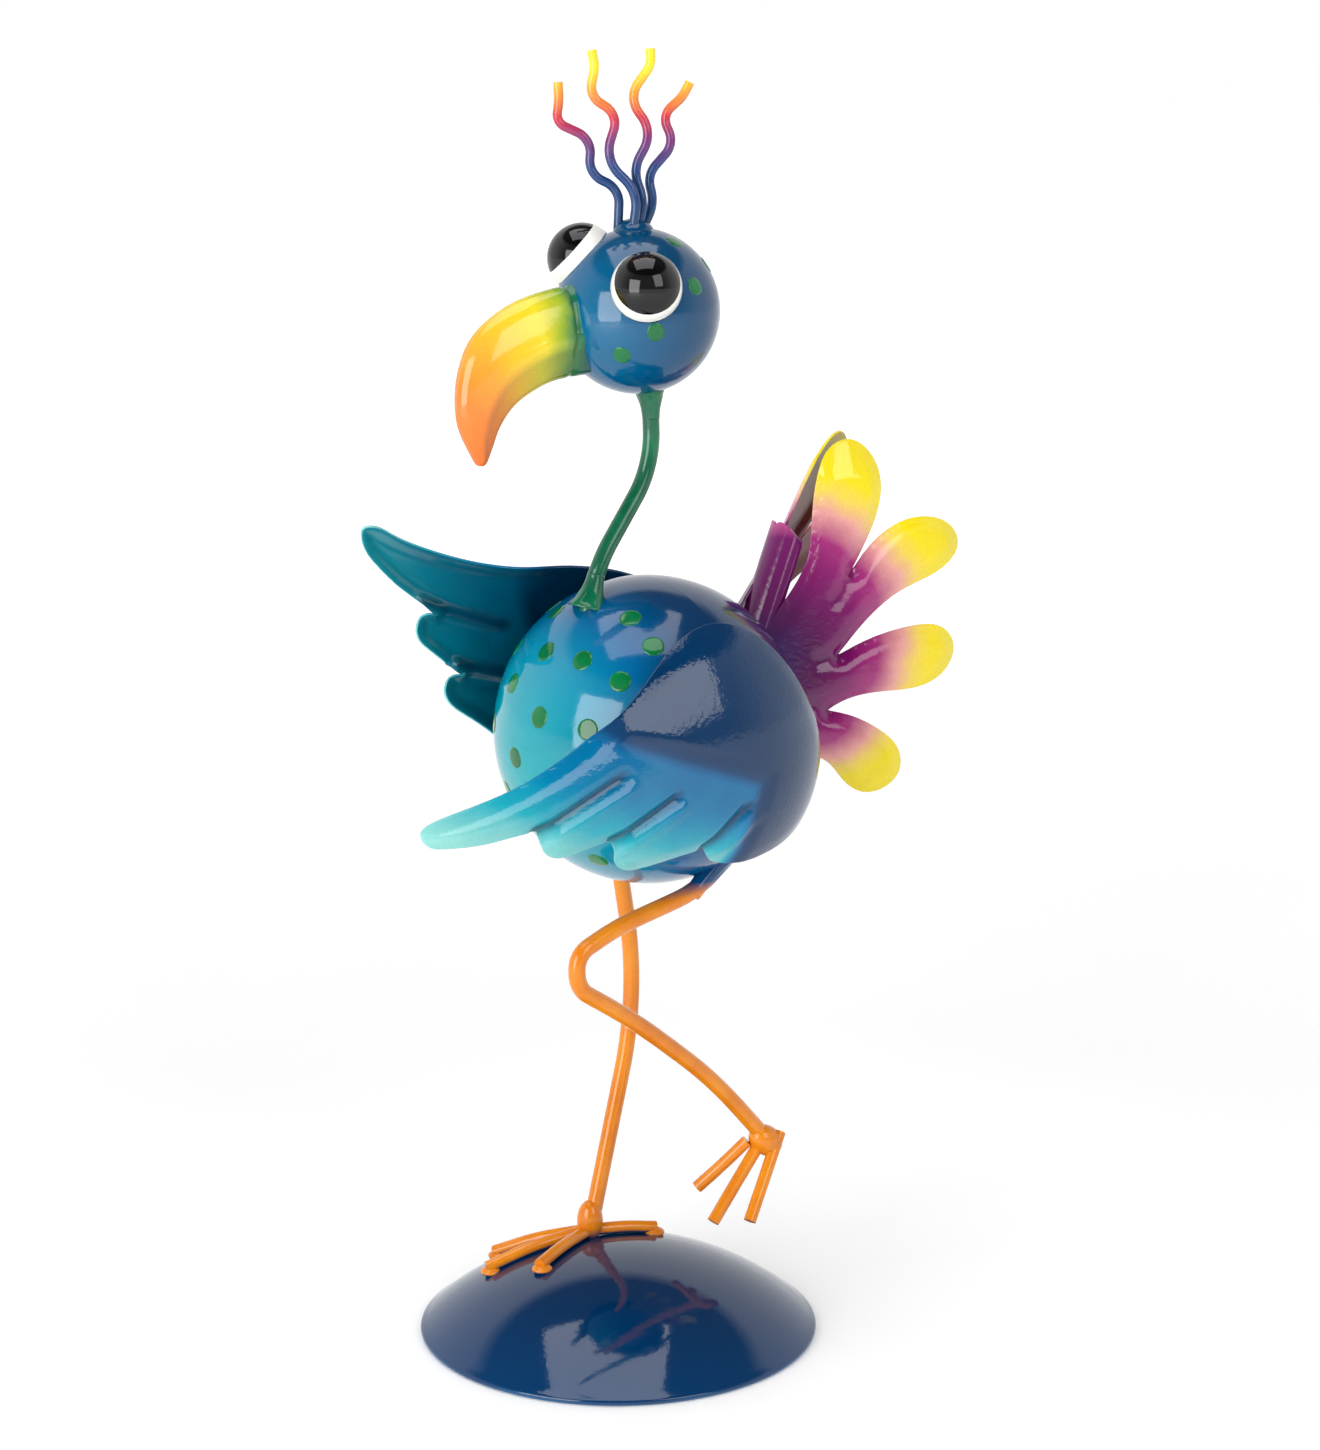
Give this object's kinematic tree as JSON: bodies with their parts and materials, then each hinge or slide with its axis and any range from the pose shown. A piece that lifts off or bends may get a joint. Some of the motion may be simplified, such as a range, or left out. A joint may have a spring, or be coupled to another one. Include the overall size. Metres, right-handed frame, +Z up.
{
  "type": "garden bird figurine",
  "caption": "Painted steel garden bird standing on one leg on a domed base, with wavy hair wires, hooked beak, raised wings and a petal tail",
  "frame": {"origin": "centre of the base dome's rim, on the surface that the bird stands on", "axes": "+Z up; the bird looks along -Y; +X is the bird's left"},
  "size_m": [0.132, 0.2338, 0.4174],
  "materials": {
    "base_paint": "deep navy gloss over a pressed steel dome",
    "body_paint": "high-gloss airbrushed enamel, aqua breast into navy, green dots",
    "head_paint": "high-gloss airbrushed blue enamel with green dots",
    "beak_paint": "gloss enamel fading from green through yellow to orange",
    "eye_paint": "gloss black over a white ring",
    "neck_paint": "dark green gloss enamel",
    "leg_paint": "semi-gloss orange enamel",
    "hip_paint": "blue overspray over the hip welds",
    "hair_paint": "gloss enamel fading from blue through crimson to yellow",
    "wing_paint": "gloss enamel fading from navy to pale aqua tips",
    "tail_paint": "gloss enamel fading from purple through pink to yellow tips"
  },
  "bodies": {
    "root": {"base_dome": "base_paint", "body_front_shell": "body_paint", "body_back_shell": "body_paint", "left_wing_weld": "body_paint", "right_wing_weld": "body_paint", "head_front_shell": "head_paint", "head_back_shell": "head_paint", "hair_root_weld": "head_paint", "beak_left_half": "beak_paint", "beak_right_half": "beak_paint", "left_eye": "eye_paint", "right_eye": "eye_paint", "neck_rod": "neck_paint", "neck_body_weld": "neck_paint", "neck_head_weld": "neck_paint", "stand_leg": "leg_paint", "stand_toe_outer": "leg_paint", "stand_toe_middle": "leg_paint", "stand_toe_inner": "leg_paint", "stand_toe_back": "leg_paint", "stand_ankle_weld": "leg_paint", "stand_toe_outer_tack": "leg_paint", "stand_toe_middle_tack": "leg_paint", "stand_toe_inner_tack": "leg_paint", "stand_toe_back_tack": "leg_paint", "raised_leg": "leg_paint", "raised_toe_outer": "leg_paint", "raised_toe_middle": "leg_paint", "raised_toe_inner": "leg_paint", "raised_ankle_weld": "leg_paint", "left_hip_weld": "hip_paint", "right_hip_weld": "hip_paint", "hair_wire_1": "hair_paint", "hair_wire_2": "hair_paint", "hair_wire_3": "hair_paint", "hair_wire_4": "hair_paint", "left_wing": "wing_paint", "right_wing": "wing_paint", "tail_left_leaf": "tail_paint", "tail_right_leaf": "tail_paint", "tail_covert": "tail_paint", "tail_covert_weld": "tail_paint", "tail_left_weld": "tail_paint", "tail_right_weld": "tail_paint"}
  },
  "joints": []
}
